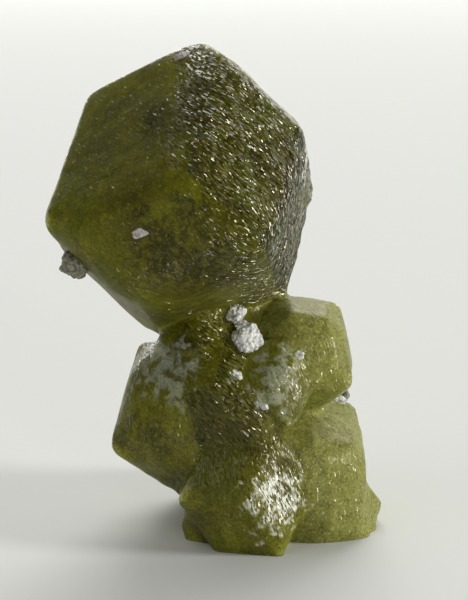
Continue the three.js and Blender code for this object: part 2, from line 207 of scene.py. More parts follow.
def noise(x, y, seed):
    """Smooth noise from -1 to 1: the lattice's random heights, blended with the weight 3 f^2 - 2 f^3."""
    i, j = np.floor(x), np.floor(y)
    u, v = (f * f * (3 - 2 * f) for f in (x - i, y - j))
    low = chance(i, j, seed) * (1 - u) + chance(i + 1, j, seed) * u
    high = chance(i, j + 1, seed) * (1 - u) + chance(i + 1, j + 1, seed) * u
    return 2 * (low * (1 - v) + high * v) - 1


def hills(x, y, seed):
    """Rhombic hills from 0 to 1: each lattice cell has one hill, of a random size from 0.55 to 1, at a place
    from 0.2 to 0.8 of the cell. Its height falls with |dx| + |dy|, and the highest hill wins."""
    i, j = np.floor(x), np.floor(y)
    height = np.zeros_like(x)
    for di in (-1, 0, 1):
        for dj in (-1, 0, 1):
            across = x - (i + di + 0.2 + 0.6 * chance(i + di, j + dj, seed))
            along = y - (j + dj + 0.2 + 0.6 * chance(i + di, j + dj, seed + 1))
            size = 0.55 + 0.45 * chance(i + di, j + dj, seed + 2)
            height = np.maximum(height, size - np.abs(across) - np.abs(along))
    return height


def smooth_step(x, low, high):
    """0 below low, 1 above high, and 3 f^2 - 2 f^3 between them."""
    f = np.clip((x - low) / (high - low), 0, 1)
    return f * f * (3 - 2 * f)


sample = np.meshgrid(np.arange(0, 9, 0.1), np.arange(0, 9, 0.1))
for pattern in (noise, hills):
    heights = pattern(*sample, 1)
    print(pattern.__name__, "goes from", round(heights.min(), 2), "to", round(heights.max(), 2))

# %% [markdown]
# How rough a face is differs from face to face. On the big crystal the right-hand faces are densely ribbed
# and the left ones nearly smooth. The change from one to the other doesn't keep to the crystal's edges: it
# runs straight down from the top, and then down to the right. So it is given as a line, by its place across
# at a few heights, and the roughness rises where a point lies right of that line.

# %% How rough each face is
ROUGH = {
    "big": {"0 -1 1": 1.0, "1 -1 0": 1.3, "-1 0 1": 0.07, "1 0 1": 0.5, "0 1 1": 0.3, "-1 -1 0": 0.1,
            "0 -1 -1": 0.1, "-1 0 -1": 0.06, "-1 1 0": 0.3, "1 1 0": 0.55, "0 1 -1": 0.4, "1 0 -1": 0.6},
    "centre": {"0 -1 1": 0.9, "-1 -1 0": 0.8},
    "knob": {"0 -1 1": 0.45, "-1 -1 0": 0.45, "1 -1 0": 0.45},
    "side_bud": {words: 0.9 for words in FACE_NAMES},
    "front": {"1 1 0": 0.5, "1 0 -1": 0.5},
    "neck": {"0 -1 1": 0.7, "-1 -1 0": 0.5},
}
PLAIN_ROUGH = 0.28
LINE_HEIGHT = [7.0, 7.9, 9.0, 10.1, 11.2, 11.7, 12.9, 15.0]
LINE_X = [0.75, 0.65, 0.45, 0.2, -0.49, -1.09, -1.03, -0.94]
LINE_CROSSES = ("-1 -1 0", "0 -1 -1", "-1 0 1")
LINE_FADE = (-0.9, 0.5)
LINE_WAVER, LINE_WAVE = 0.25, 0.5
ROUGH_RIGHT = 0.9


def roughness_at(name, face, points):
    """How rough a crystal's face is at some points of it, from 0 for smooth to about 1."""
    rough = np.full(len(points), ROUGH.get(name, {}).get(FACE_NAMES[face], PLAIN_ROUGH))
    if name == "big" and FACE_NAMES[face] in LINE_CROSSES:
        x, _, z = points.T
        right_of_line = x - np.interp(z, LINE_HEIGHT, LINE_X)
        wavering = right_of_line + LINE_WAVER * noise(x / LINE_WAVE, z / LINE_WAVE, 8)
        rough += (ROUGH_RIGHT - rough) * smooth_step(wavering, *LINE_FADE)
    return rough


from_left_to_right = np.array([(x, -3.5, 9.5) for x in (-3, -1, 1)])
big_front_face = FACE_NAMES.index("-1 -1 0")
print("roughness across the big front face:",
      np.round(roughness_at("big", big_front_face, from_left_to_right), 2))

# %% [markdown]
# A crystal's skin is a function of the direction u. Face i alone would be met at distance d_i / (n_i . u),
# and the nearest face wins. Taking the power mean of all faces in place of the nearest rounds the edges,
# the more so the lower the power: the big crystal's edges are only just blunt, and the small ones below
# have been dissolved into soft lobes. The whole is then swelled until the edges are back in their places.
# Two of the big crystal's faces are pushed out a little more, because rounding takes most from where blunt
# faces meet.

# %% One crystal's skin
SHARPNESS = {"big": 30, "front": 30, "left": 24, "right_lower": 20, "right_upper": 18, "side_bud": 7}
PLAIN_SHARPNESS = 16
CELL = {"big": 0.068, "front": 0.062, "knob": 0.062, "centre": 0.062, "neck": 0.07, "left": 0.075}
PLAIN_CELL = 0.085
SIDE_ARC = 1.75
FRONT_FOCUS = direction("0.35 -0.9 0.25")
FOCUS, PLAIN_FOCUS = {"big": 0.35}, 0.2
PUSHED = {"big": {"1 -1 0": 0.1, "0 0 1": 0.15}}


def crystal_skin(name):
    """Points and quads of a crystal: middle + u / (half the sum of ((n_i . u) / d_i)^p)^(1/p).

    A side of the cube covers an arc of SIDE_ARC times the reach, which gives the number of cells in it."""
    spec = CRYSTALS[name]
    directions, quads = sphere_grid(int(SIDE_ARC * spec["reach"] / CELL.get(name, PLAIN_CELL)))
    directions = drawn_towards(directions, FRONT_FOCUS, FOCUS.get(name, PLAIN_FOCUS))
    sharp = SHARPNESS.get(name, PLAIN_SHARPNESS)
    pushed = np.array([PUSHED.get(name, {}).get(words, 0) for words in plane_names(spec)])
    power = (np.maximum(directions @ spec["normals"].T, 0) / (spec["reaches"] + pushed)) ** sharp
    total = power.sum(1, keepdims=True)
    return spec["middle"] + directions * (total / 2) ** (-1 / sharp), quads


print("the big crystal's skin has", len(crystal_skin("big")[0]), "points")

# %% [markdown]
# A mesh object takes whole arrays of points and quads at once. Its points are placed in the mesh itself and
# the object stays at the origin, so that one number, `MM`, is the only change of units.

# %% Make the skins


def mesh_object(name, points, quads):
    """A mesh object at the origin, its place in its mesh, from points in millimetres."""
    mesh = bpy.data.meshes.new(name)
    mesh.from_pydata(points * MM, [], quads)
    thing = bpy.data.objects.new(name, mesh)
    bpy.context.scene.collection.objects.link(thing)
    return thing


skins = [mesh_object(name, *crystal_skin(name)) for name in CRYSTALS]
print(sum(len(skin.data.polygons) for skin in skins), "quads in", len(skins), "skins")

# %% [markdown]
# The crystals are grown together, so the skins are joined in one by Boolean modifiers, and a box takes off
# what is below the base. What was hidden inside goes, which matters here: the garnet lets light through,
# and walls inside it would show. The solver for closed meshes is the fastest, and every skin is closed.

# %% Join the skins and cut the base
BELOW_HALF_SIZE = (20, 20, 5)


def combined(base, others, operation):
    """The base, with every other object joined to it or taken off it. The others are removed."""
    for other in others:
        step = base.modifiers.new(operation.lower(), "BOOLEAN")
        step.operation, step.solver, step.object = operation, "MANIFOLD", other
    drawn = base.evaluated_get(bpy.context.evaluated_depsgraph_get())
    mesh = bpy.data.meshes.new_from_object(drawn)
    base.modifiers.clear()
    base.data = mesh
    for other in others:
        bpy.data.objects.remove(other)
    return base


def below_base():
    """A box that reaches from the base down, wider than the specimen."""
    corners, quads = sphere_grid(1)
    return mesh_object("below", np.sign(corners) * BELOW_HALF_SIZE - (0, 0, BELOW_HALF_SIZE[2]), quads)


garnet = combined(skins[0], skins[1:], "UNION")
garnet = combined(garnet, [below_base()], "DIFFERENCE")
garnet.name = garnet.data.name = "garnet"
print("joined:", len(garnet.data.vertices), "points,",
      sum(len(p.vertices) - 2 for p in garnet.data.polygons), "triangles")

# %% [markdown]
# A join leaves slivers, triangles with next to no width, which a file with rounded numbers would lose, and
# then the skin would have a hole. It can also leave loose shells inside. So the slivers are dissolved, and
# only the largest connected part is kept.

# %% Keep one closed skin
SLIVER = 0.001


def dissolve_slivers(thing):
    """Dissolves the edges of a mesh that have next to no length, and the triangles with next to no width."""
    shape = bmesh.new()
    shape.from_mesh(thing.data)
    bmesh.ops.dissolve_degenerate(shape, dist=SLIVER * MM, edges=shape.edges)
    bmesh.ops.triangulate(shape, faces=shape.faces)
    shape.to_mesh(thing.data)
    shape.free()


def largest_part(thing):
    """Keeps the largest connected part of a mesh, and makes it all triangles.

    Every point starts with its own number, and each takes the lowest among its neighbours and its own
    number's number until nothing changes."""
    mesh = thing.data
    mesh.calc_loop_triangles()
    points = np.empty(3 * len(mesh.vertices))
    mesh.vertices.foreach_get("co", points)
    triangles = np.empty(3 * len(mesh.loop_triangles), dtype=np.int32)
    mesh.loop_triangles.foreach_get("vertices", triangles)
    points, triangles = points.reshape(-1, 3), triangles.reshape(-1, 3)
    part = np.arange(len(points))
    while True:
        lowest = part[triangles].min(1)
        new = part.copy()
        np.minimum.at(new, triangles.ravel(), np.repeat(lowest, 3))
        new = new[new]
        if (new == part).all():
            break
        part = new
    numbers, counts = np.unique(part[triangles[:, 0]], return_counts=True)
    kept = triangles[part[triangles[:, 0]] == numbers[counts.argmax()]]
    used, renumbered = np.unique(kept, return_inverse=True)
    return points[used] / MM, renumbered.reshape(-1, 3)


dissolve_slivers(garnet)
garnet_points, garnet_triangles = largest_part(garnet)
bpy.data.objects.remove(garnet)
print("kept:", len(garnet_points), "points,", len(garnet_triangles), "triangles")

# %% [markdown]
# Where two crystals meet, the joined skin has a knife-sharp crease. On the real specimen the garnet went on
# growing over such creases and filled them. So the points near a crease are moved, again and again, towards
# the middle of their neighbours, which fills the crease and leaves the open faces alone. Near the base
# nothing is moved, so that the cut stays flat.

# %% Heal the creases
HEAL_WIDTH = 0.28
HEAL_ROUNDS = 70
BASE_FADE = (0.02, 0.2)


def above_base(points):
    """0 at the flat base, rising to 1 a little above it."""
    return smooth_step(points[:, 2], *BASE_FADE)


def signed_rooms(points):
    """For each crystal, how far each point lies outside each of its faces, in millimetres."""
    return {name: (points - spec["middle"]) @ spec["normals"].T - spec["reaches"]
            for name, spec in CRYSTALS.items()}


def gaps_to_skins(rooms):
    """How far each point is from each crystal's skin: a row for each crystal."""
    return np.stack([np.abs(room.max(1)) for room in rooms.values()])


def crease_nearness(points):
    """1 where a second crystal's skin passes through the point, falling to 0 over HEAL_WIDTH."""
    second = np.sort(gaps_to_skins(signed_rooms(points)), axis=0)[1]
    return np.exp(-(second / HEAL_WIDTH) ** 2) * above_base(points)


def healed(points, triangles, nearness, rounds):
    """Each round moves every point by half its nearness towards the middle of its neighbours."""
    ends = np.concatenate([triangles[:, [0, 1]], triangles[:, [1, 2]], triangles[:, [2, 0]]])
    count = np.bincount(ends[:, 0], minlength=len(points))[:, None]
    points = points.copy()
    for _ in range(rounds):
        total = np.stack([np.bincount(ends[:, 0], points[ends[:, 1], axis], len(points))
                          for axis in range(3)], -1)
        points += 0.5 * nearness[:, None] * (total / count - points)
    return points


garnet_points = healed(garnet_points, garnet_triangles, crease_nearness(garnet_points), HEAL_ROUNDS)
print("healed:", int((crease_nearness(garnet_points) > 0.5).sum()), "points lie near a crease")

# %% [markdown]
# The edges on the front and on the back are worn soft in the same way. Those between the two, at the rim,
# stay crisp, because they draw the crystal's outline. On the front the worn strip is as wide as on the real
# crystals. On the back it is narrow, because a wide one would eat into the outline.

# %% Wear the edges
SOFT_WIDTH = {"big": 0.65, "centre": 0.5, "front": 0.35, "left": 0.35}
PLAIN_SOFT_WIDTH = 0.2
BACK_SOFT_WIDTH = 0.15
SOFT_ROUNDS = 150
FORWARD_BELOW = 0.05


def nearest_two(name, room):
    """The gap between the two nearest faces of a crystal, and whether each of them looks forward, which is
    when the Y part of its direction is below FORWARD_BELOW."""
    order = np.argsort(room, axis=1)[:, -2:]
    low, high = np.take_along_axis(room, order, 1).T
    forward = CRYSTALS[name]["normals"][:, 1] < FORWARD_BELOW
    return high - low, *forward[order].T


def worn_edge_nearness(points):
    """1 on those edges of a crystal whose two faces both look forward, falling to 0 over its soft width, and
    likewise where both look back, over a narrow strip."""
    rooms = signed_rooms(points)
    nearest = gaps_to_skins(rooms).argmin(0)
    nearness = np.zeros(len(points))
    for number, (name, room) in enumerate(rooms.items()):
        gap, first, second = nearest_two(name, room)
        width = np.where(first, SOFT_WIDTH.get(name, PLAIN_SOFT_WIDTH), BACK_SOFT_WIDTH)
        soft = np.exp(-(gap / width) ** 2)
        nearness = np.where((nearest == number) & (first == second), soft, nearness)
    return nearness * above_base(points)


garnet_points = healed(garnet_points, garnet_triangles, worn_edge_nearness(garnet_points), SOFT_ROUNDS)
garnet = mesh_object("garnet", garnet_points, garnet_triangles)
print("worn:", int((worn_edge_nearness(garnet_points) > 0.5).sum()), "points lie on a worn edge")

# %% [markdown]
# The relief comes last, so that it runs over the worn edges and the healed creases too. Every face has wide
# waves, growth layers and a fine grain, and the rough faces have the drawn-out hillocks as well. All of
# these follow the stripes of the face. On the big crystal and those with the same turn, the stripes run
# along one of its edges.

# %% The relief of a face
BIG_EDGE = turned(BIG_TURN) @ direction("-1 1 1")
STRIPES = {"big": BIG_EDGE, "centre": BIG_EDGE, "neck": BIG_EDGE, "neck_right": BIG_EDGE,
           "front": direction("-0.3 0 1"), "knob": direction("-0.5 0.2 1")}
PLAIN_STRIPES = direction("-0.3 0.2 1")
WAVE_LONG, WAVE_WIDE, WAVE_RISE = 1.3, 1.1, 0.035
STEP_PLACES, STEP_WIDTH, STEP_RISE = (0.35, 0.8, 1.4), 0.07, 0.012
RIM_WAVE, RIM_WAVER = 0.9, 0.22
LARGE_REACH = 2.4
FINE_LONG, FINE_WIDE, FINE_RISE, FINE_ROUGH_RISE = 0.45, 0.28, 0.008, 0.02
HILL_LONG, HILL_WIDE, HILL_RISE = 0.3, 0.13, 0.02
HILL_RIM = (0.02, 0.2)


def on_face(name, face, points):
    """Coordinates on a face in millimetres: along its stripes, and across them."""
    spec = CRYSTALS[name]
    normal = spec["normals"][face]
    along = STRIPES.get(name, PLAIN_STRIPES)
    along = along - (along @ normal) * normal
    along = along / np.linalg.norm(along)
    away = points - spec["middle"]
    return away @ along, away @ np.cross(normal, along)


def face_relief(name, face, points):
    """The height of the relief on a face: wide waves, growth layers that step up with the distance from the
    face's rim, drawn-out hills in proportion to the roughness, and a fine grain."""
    spec = CRYSTALS[name]
    seed = 13 * face + 5 * list(CRYSTALS).index(name)
    s, t = on_face(name, face, points)
    others = np.arange(len(spec["normals"])) != face
    room = spec["reaches"][others] - (points - spec["middle"]) @ spec["normals"][others].T
    rim = room.min(1) + RIM_WAVER * noise(s / RIM_WAVE, t / RIM_WAVE, seed)
    rough = roughness_at(name, face, points)
    scale = min(1.0, spec["reach"] / LARGE_REACH)
    layers = sum(smooth_step(rim, place * scale, place * scale + STEP_WIDTH) for place in STEP_PLACES)
    height = WAVE_RISE * noise(s / WAVE_LONG, t / WAVE_WIDE, seed + 3) + STEP_RISE * scale * layers
    height += (FINE_RISE + FINE_ROUGH_RISE * rough) * noise(s / FINE_LONG, t / FINE_WIDE, seed + 4)
    small = hills(s / HILL_LONG, t / HILL_WIDE, seed + 5)
    return height + HILL_RISE * rough * small * smooth_step(rim, *HILL_RIM)


print("relief across the big front face:",
      np.round(face_relief("big", big_front_face, from_left_to_right), 3), "mm")

# %% [markdown]
# Every point is lifted along the skin's own direction there. Near an edge the two faces' reliefs are
# blended, because a jump from one to the other would leave a ragged step there.

# %% Lift the relief
EDGE_BLEND = 0.08
SMALL_SHARE = 0.01
CREASE_CALM = 0.6
SHARP_ANGLE = np.radians(40)


def nearest_faces(points):
    """The number of the crystal whose skin each point is on, and of the face there."""
    rooms = signed_rooms(points)
    faces = np.stack([room[:, :len(FACE_NAMES)].argmax(1) for room in rooms.values()])
    crystal = gaps_to_skins(rooms).argmin(0)
    return crystal, faces[crystal, np.arange(len(points))]


def relief_at(points):
    """The height of the relief at each point. The faces of its crystal each give theirs, weighted by e to
    the power of how far the point is outside the face over EDGE_BLEND, and it is less in a crease."""
    height = np.zeros(len(points))
    crystal, _ = nearest_faces(points)
    for number, (name, room) in enumerate(signed_rooms(points).items()):
        mine = np.flatnonzero(crystal == number)
        room = room[mine][:, :len(FACE_NAMES)]
        share = np.exp((room - room.max(1, keepdims=True)) / EDGE_BLEND)
        share /= share.sum(1, keepdims=True)
        for face in range(len(FACE_NAMES)):
            near = share[:, face] > SMALL_SHARE
            height[mine[near]] += share[near, face] * face_relief(name, face, points[mine[near]])
    return height * (1 - CREASE_CALM * crease_nearness(points)) * above_base(points)


def normals_of(mesh):
    """The outward direction at each point of a mesh."""
    normals = np.empty(3 * len(mesh.vertices))
    mesh.vertex_normals.foreach_get("vector", normals)
    return normals.reshape(-1, 3)


lift = relief_at(garnet_points)
garnet_points = garnet_points + lift[:, None] * normals_of(garnet.data)
garnet.data.vertices.foreach_set("co", np.ravel(garnet_points * MM))
garnet.data.update()
garnet.data.shade_smooth()
garnet.data.set_sharp_from_angle(angle=SHARP_ANGLE)
print("the relief rises from", round(lift.min(), 3), "to", round(lift.max(), 3), "mm")

# %% [markdown]
# The finish needs to know more than where a point lies, so values are kept on the mesh's points. First come
# how rough the face is, and the way its hillocks lean: on three of the big crystal's faces their own little
# faces look up and forward, as the real ones do, and so it sparkles right to its rim. The place on the
# face, along and across its stripes, is kept on the triangles' corners, so that it never blends between
# faces.

# %% Which face a point is on
LEAN_WAY = turned(BIG_TURN) @ direction("0 -1 1")
LEANING = {"big": {"1 -1 0": 0.8, "-1 -1 0": 1.0, "0 -1 -1": 1.4}}
FACE_APART, CRYSTAL_APART = 7.3, 41.0


def on_each_face(points, crystal, face, measure, width):
    """measure(name, face, points) for every point, worked out face by face."""
    values = np.zeros((len(points), width))
    for number, name in enumerate(CRYSTALS):
        for side in range(len(FACE_NAMES)):
            mine = (crystal == number) & (face == side)
            if mine.any():
                values[mine] = np.reshape(measure(name, side, points[mine]), (-1, width))
    return values


def face_place(name, face, points):
    """Along the stripes, across them, and a number that differs for each face."""
    s, t = on_face(name, face, points)
    offset = FACE_APART * face + CRYSTAL_APART * list(CRYSTALS).index(name)
    return np.stack([s, t, np.full(len(s), offset)], -1)


def lean_of(name, face, points):
    """The way in which the hillocks of a face lean, the same at all its points."""
    amount = LEANING.get(name, {}).get(FACE_NAMES[face], 0)
    return np.tile(amount * LEAN_WAY, (len(points), 1))


middles = garnet_points[garnet_triangles].mean(1)
tri_crystal, tri_face = nearest_faces(middles)
corner_points = garnet_points[garnet_triangles].reshape(-1, 3)
places = on_each_face(corner_points, np.repeat(tri_crystal, 3), np.repeat(tri_face, 3), face_place, 3)
point_crystal, point_face = nearest_faces(garnet_points)
rough = on_each_face(garnet_points, point_crystal, point_face, roughness_at, 1)[:, 0]
lean = on_each_face(garnet_points, point_crystal, point_face, lean_of, 3)
print("share of the skin by crystal:",
      {name: round(float((tri_crystal == k).mean()), 2) for k, name in enumerate(CRYSTALS)})

# %% [markdown]
# The edges at the rim are chipped, and they get painted light: a glow where the light from behind comes
# through them, and a white sheen on the rough faces. So how near such an edge is gets a value too. So does
# how clear the crystal is, because the small crystals on the right are clearer than the big one.

# %% How near an edge is, and how clear the crystal
EDGE_WIDTH = 0.12
CLEAR_BLEND = 0.12
CLEAR = {"right_upper": 0.8, "right_lower": 1.0, "right_foot": 1.0, "back_foot": 0.7, "back_right": 0.6,
         "left": 0.15, "left_foot": 0.2, "knob": 0.2, "front": 0.1}


def edge_nearness(points, crystal):
    """1 on an edge of the crystal, falling to 0 over EDGE_WIDTH: e to the power of minus the gap between the
    two nearest faces over that width. Worn edges, where both look forward or both back, are left out."""
    near = np.zeros(len(points))
    for number, (name, room) in enumerate(signed_rooms(points).items()):
        mine = crystal == number
        gap, first, second = nearest_two(name, room[mine][:, :len(FACE_NAMES)])
        near[mine] = np.where(first == second, 0.0, np.exp(-gap / EDGE_WIDTH))
    return near


def clearness(points):
    """How clear the garnet is at each point: the crystals' own values, each weighted by its nearness, which
    is e to the power of minus its gap over CLEAR_BLEND."""
    gaps = gaps_to_skins(signed_rooms(points))
    weight = np.exp(-(gaps - gaps.min(0)) / CLEAR_BLEND)
    value = np.array([CLEAR.get(name, 0.0) for name in CRYSTALS])
    return value @ weight / weight.sum(0)


edge = edge_nearness(garnet_points, point_crystal)
clear = clearness(garnet_points)
print("near an edge:", round(float((edge > 0.5).mean()), 3), "of the points, clear:",
      round(float((clear > 0.5).mean()), 3))

# %% [markdown]
# A garnet's thin edges glow yellow-green, because light from behind crosses little of it there, while the
# thick middle swallows nearly all of it. Path tracing would need many samples to find such light, and the
# cloudy body would hide most of it. So it is worked out once: from each point, straight ways are followed
# inwards in many directions, and the shorter they are, the more light there is.

# %% How much light comes through
GLOW_DEPTH, THIN_DEPTH = 0.7, 3.0
START_DEPTH, SKIN = 0.1, 0.16
LIGHT_WAYS = 22
MOST_CRYSTALS = 3
FIRST_STEP, GAP_CROSSED = 0.02, 0.05
GRAZING = 0.05
CREASE_SHADE = 1.6


def way_through(points, direction_in):
    """How far a straight way runs inside the garnet before it comes out: it is carried on through each
    crystal that it is in, or enters before it would come out. The faces are taken SKIN further out, so that
    every point of the swelled and lifted skins is inside."""
    gone = np.full(len(points), FIRST_STEP)
    for _ in range(MOST_CRYSTALS):
        reached = gone.copy()
        for spec in CRYSTALS.values():
            along = spec["normals"] @ direction_in
            room = spec["reaches"] + SKIN - (points - spec["middle"]) @ spec["normals"].T
            leave = np.min(room[:, along > 1e-6] / along[along > 1e-6], axis=1)
            enter = np.max(room[:, along < -1e-6] / along[along < -1e-6], axis=1)
            crosses = (enter < gone + GAP_CROSSED) & (leave > reached)
            reached[crosses] = leave[crosses]
        gone = reached
    return gone


def light_ways(count):
    """Directions spread evenly all round: a spiral whose turn each step is the golden angle."""
    step = np.arange(count) + 0.5
    z = 1 - 2 * step / count
    angle = step * np.pi * (3 - np.sqrt(5))
    return np.stack([np.sqrt(1 - z * z) * np.cos(angle), np.sqrt(1 - z * z) * np.sin(angle), z], -1)


normals = normals_of(garnet.data)
glow, thin, weight = np.zeros((3, len(garnet_points)))
for way in light_ways(LIGHT_WAYS):
    facing = np.maximum(0, -(normals @ way) - GRAZING)
    inside = facing > 0
    through = way_through(garnet_points[inside] - START_DEPTH * normals[inside], way)
    glow[inside] += facing[inside] * np.exp(-through / GLOW_DEPTH)
    thin[inside] += facing[inside] * np.exp(-through / THIN_DEPTH)
    weight += facing
# Near a crease the painted glow and the pale rim are taken away, as painted shade there.
outside_crease_shade = 1 - np.clip(CREASE_SHADE * crease_nearness(garnet_points), 0, 1)
glow, thin, edge = outside_crease_shade * glow / weight, thin / weight, outside_crease_shade * edge
for label, value in (("glow", glow), ("thin", thin)):
    print(label, "at 5, 50 and 95 of 100:", np.round(np.percentile(value, (5, 50, 95)), 3))

# %% [markdown]
# Values kept on a mesh are called attributes. A material reads them by name, so each gets a plain one:
# numbers and directions at the points, and the places on the faces at the triangles' corners.

# %% Keep the values on the mesh


def keep(mesh, name, values, domain="POINT"):
    """Stores numbers, or vectors of three, on a mesh under a name."""
    vectors = values.ndim == 2
    layer = mesh.attributes.new(name, "FLOAT_VECTOR" if vectors else "FLOAT", domain)
    layer.data.foreach_set("vector" if vectors else "value", np.ravel(values))


at_points = {"rough": rough, "lean": lean, "edge": edge, "glow": glow, "thin": thin, "clear": clear}
for name, values in at_points.items():
    keep(garnet.data, name, values)
keep(garnet.data, "place", places, "CORNER")
print("kept at the points:", ", ".join(at_points), "and at the corners: place")

# %% [markdown]
# The crumbs are another mineral, a crust of many tiny crystals. Each is a lumpy skin over a stretched
# sphere, with a few big lumps, and many small round grains with deep pores between. The table gives a
# crumb's middle, its half sizes, its turn about Y in degrees, and its kind.

# %% The crumbs
GREY, WHITE, LILAC = "grey_grain", "white_grain", "lilac_grain"
CRUMBS = {
    "grain_grey_ball": ((-4.5, -2.45, 8.68), (0.46, 0.44, 0.5), 0, GREY),
    "grain_neck_large": ((0.38, -1.25, 6.2), (0.5, 0.45, 0.55), 0, WHITE),
    "grain_neck_small": ((0.05, -0.75, 6.84), (0.38, 0.55, 0.27), -20, WHITE),
    "grain_long": ((0.1, -1.98, 5.26), (0.25, 0.13, 0.13), 40, WHITE),
    "grain_side": ((1.9, -1.31, 5.72), (0.18, 0.13, 0.16), 0, WHITE),
    "grain_front_fleck": ((-2.5, -4.16, 9.9), (0.36, 0.13, 0.19), -20, LILAC),
    "grain_top_fleck": ((-1.48, -1.38, 14.42), (0.26, 0.14, 0.16), -15, LILAC),
    "grain_right_white": ((3.3, 1.15, 3.67), (0.22, 0.2, 0.16), 0, WHITE),
    "grain_right_grey": ((3.46, 1.5, 3.73), (0.16, 0.2, 0.27), 10, GREY),
    "grain_low": ((0.86, -2.13, 4.4), (0.2, 0.14, 0.14), 20, WHITE),
    "grain_ledge": ((2.54, 0.02, 3.66), (0.22, 0.13, 0.12), 0, WHITE),
}
print(len(CRUMBS), "crumbs, the largest", 2 * max(max(half) for _, half, _, _ in CRUMBS.values()), "mm long")

# %% [markdown]
# The middles of the lumps and grains lie on the same even spiral as the ways of light. For the lumps it is
# turned differently in each crumb, and the grains are scattered a little off it, so no two crumbs are alike.

# %% A crumb's skin
CRUMB_CELLS = 36
LUMP_COUNT, LUMP_SPREAD, LUMP_LEAST, LUMP_RISE = 9, 0.09, 0.5, 0.32
LUMP_TURN = np.array([40, 25, 0])
GRAIN_SIZE, GRAIN_COUNTS, GRAIN_LEAST, GRAIN_RISE = 0.12, (24, 150), 0.35, 0.22
GRAIN_COVER, GRAIN_SPREAD, GRAIN_SCATTER = 16, 5, 0.16
CRUMB_CORE = 0.64
CRUMB_SHARP_ANGLE = np.radians(45)


def bumps(directions, middles, spread, least, seeds):
    """The height of round bumps at the directions u: the highest of all bumps m, each of them its own random
    height, from least to 1, times e to the power of (u . m - 1) / spread."""
    height = least + (1 - least) * chance(np.arange(len(middles)), *seeds)
    return (height * np.exp((directions @ middles.T - 1) / spread)).max(1)


def crumb_skin(name):
    """Points and quads of a crumb: middle + half size * u * (core + lumps + grains), turned about Y."""
    at, half, turn, _ = CRUMBS[name]
    seed = list(CRUMBS).index(name)
    directions, quads = sphere_grid(CRUMB_CELLS)
    lump_middles = light_ways(LUMP_COUNT) @ turned(seed * LUMP_TURN).T
    count = int(np.clip(GRAIN_COVER * half[0] * half[2] / GRAIN_SIZE ** 2, *GRAIN_COUNTS))
    scatter = np.stack([chance(np.arange(count), seed, k) - 0.5 for k in (5, 6, 7)], -1)
    grain_middles = drawn_towards(light_ways(count), scatter, GRAIN_SCATTER)
    size = CRUMB_CORE + LUMP_RISE * bumps(directions, lump_middles, LUMP_SPREAD, LUMP_LEAST, (seed, 3))
    size += GRAIN_RISE * bumps(directions, grain_middles, GRAIN_SPREAD / count, GRAIN_LEAST, (seed, 8))
    return np.array(at) - MIDDLE + (directions * half * size[:, None]) @ turned((0, turn, 0)).T, quads


crumbs = {}
for name in CRUMBS:
    crumbs[name] = mesh_object(name.replace("grain", "crumb"), *crumb_skin(name))
    crumbs[name].data.shade_smooth()
    crumbs[name].data.set_sharp_from_angle(angle=CRUMB_SHARP_ANGLE)
print(len(crumbs), "crumbs of", len(crumbs["grain_long"].data.polygons), "quads each")

# %% [markdown]
# The finishes are node trees. Their arithmetic is written as plain expressions: a `Wire` stands for a
# node's output, and adding or multiplying wires puts Math nodes into the tree.

# %% A wire that can be reckoned with


class Wire:
    """An output of a node. Sums, products and the like of wires and numbers add Math nodes."""

    def __init__(self, tree, socket=None):
        self.tree, self.socket = tree, socket

    def node(self, kind, settings=None, sockets=None, out=0):
        """A new node of a kind, with its settings set first, then its sockets, by name or number."""
        made = self.tree.nodes.new(kind)
        for key, value in (settings or {}).items():
            setattr(made, key, value)
        for key, value in (sockets or {}).items():
            if isinstance(value, Wire):
                self.tree.links.new(value.socket, made.inputs[key])
            else:
                made.inputs[key].default_value = value
        return Wire(self.tree, made.outputs[out])

    def math(self, operation, first, second, clamp=False):
        """A Math node."""
        settings = {"operation": operation, "use_clamp": clamp}
        return self.node("ShaderNodeMath", settings, {0: first, 1: second})

    def __add__(self, other):
        return self.math("ADD", self, other)

    def __sub__(self, other):
        return self.math("SUBTRACT", self, other)

    def __rsub__(self, other):
        return self.math("SUBTRACT", other, self)

    def __mul__(self, other):
        return self.math("MULTIPLY", self, other)

    def __truediv__(self, other):
        return self.math("DIVIDE", self, other)

    def __rtruediv__(self, other):
        return self.math("DIVIDE", other, self)

    __radd__, __rmul__ = __add__, __mul__

    def clamped(self):
        """The value kept between 0 and 1."""
        return self.math("ADD", self, 0.0, clamp=True)

    def between(self, low, high):
        """0 where the value is low, 1 where it is high, smooth in between."""
        settings = {"interpolation_type": "SMOOTHSTEP"}
        return self.node("ShaderNodeMapRange", settings, {0: self, 1: low, 2: high, 3: 0.0, 4: 1.0})

    def mixed(self, first, second):
        """A colour that goes from the first to the second as this value goes from 0 to 1."""
        first, second = (c if isinstance(c, Wire) else (*c, 1) for c in (first, second))
        return self.node("ShaderNodeMix", {"data_type": "RGBA"}, {0: self, 6: first, 7: second}, out=2)

    def vector(self, operation, first, second=(0, 0, 0), scale=1.0, value=False):
        """A Vector Math node, with its vector or its value as the result."""
        settings = {"operation": operation}
        return self.node("ShaderNodeVectorMath", settings, {0: first, 1: second, 3: scale}, out=int(value))

    def attribute(self, name, out=2):
        """A value kept on the mesh under a name: a number, or with out 1 a vector."""
        return self.node("ShaderNodeAttribute", {"attribute_name": name}, out=out)

    def noise(self, where, scale, detail):
        """Soft noise from about 0.3 to 0.7, with its middle at 0.5."""
        return self.node("ShaderNodeTexNoise", {}, {"Vector": where, "Scale": scale, "Detail": detail})


print("a wire's own methods:", ", ".join(name for name in vars(Wire) if name.isalpha()))

# %% [markdown]
# Colours are picked as they look on a screen, in steps from 0 to 255, and shaders want the amounts of light
# behind them, which is a different scale. A material starts empty here, so that it holds only what is put
# in.

# %% Colours and materials


def linear(red, green, blue):
    """A colour given as screen values from 0 to 255, as the light values that shaders use."""
    screen = np.array([red, green, blue]) / 255
    return tuple(np.where(screen < 0.04045, screen / 12.92, ((screen + 0.055) / 1.055) ** 2.4))


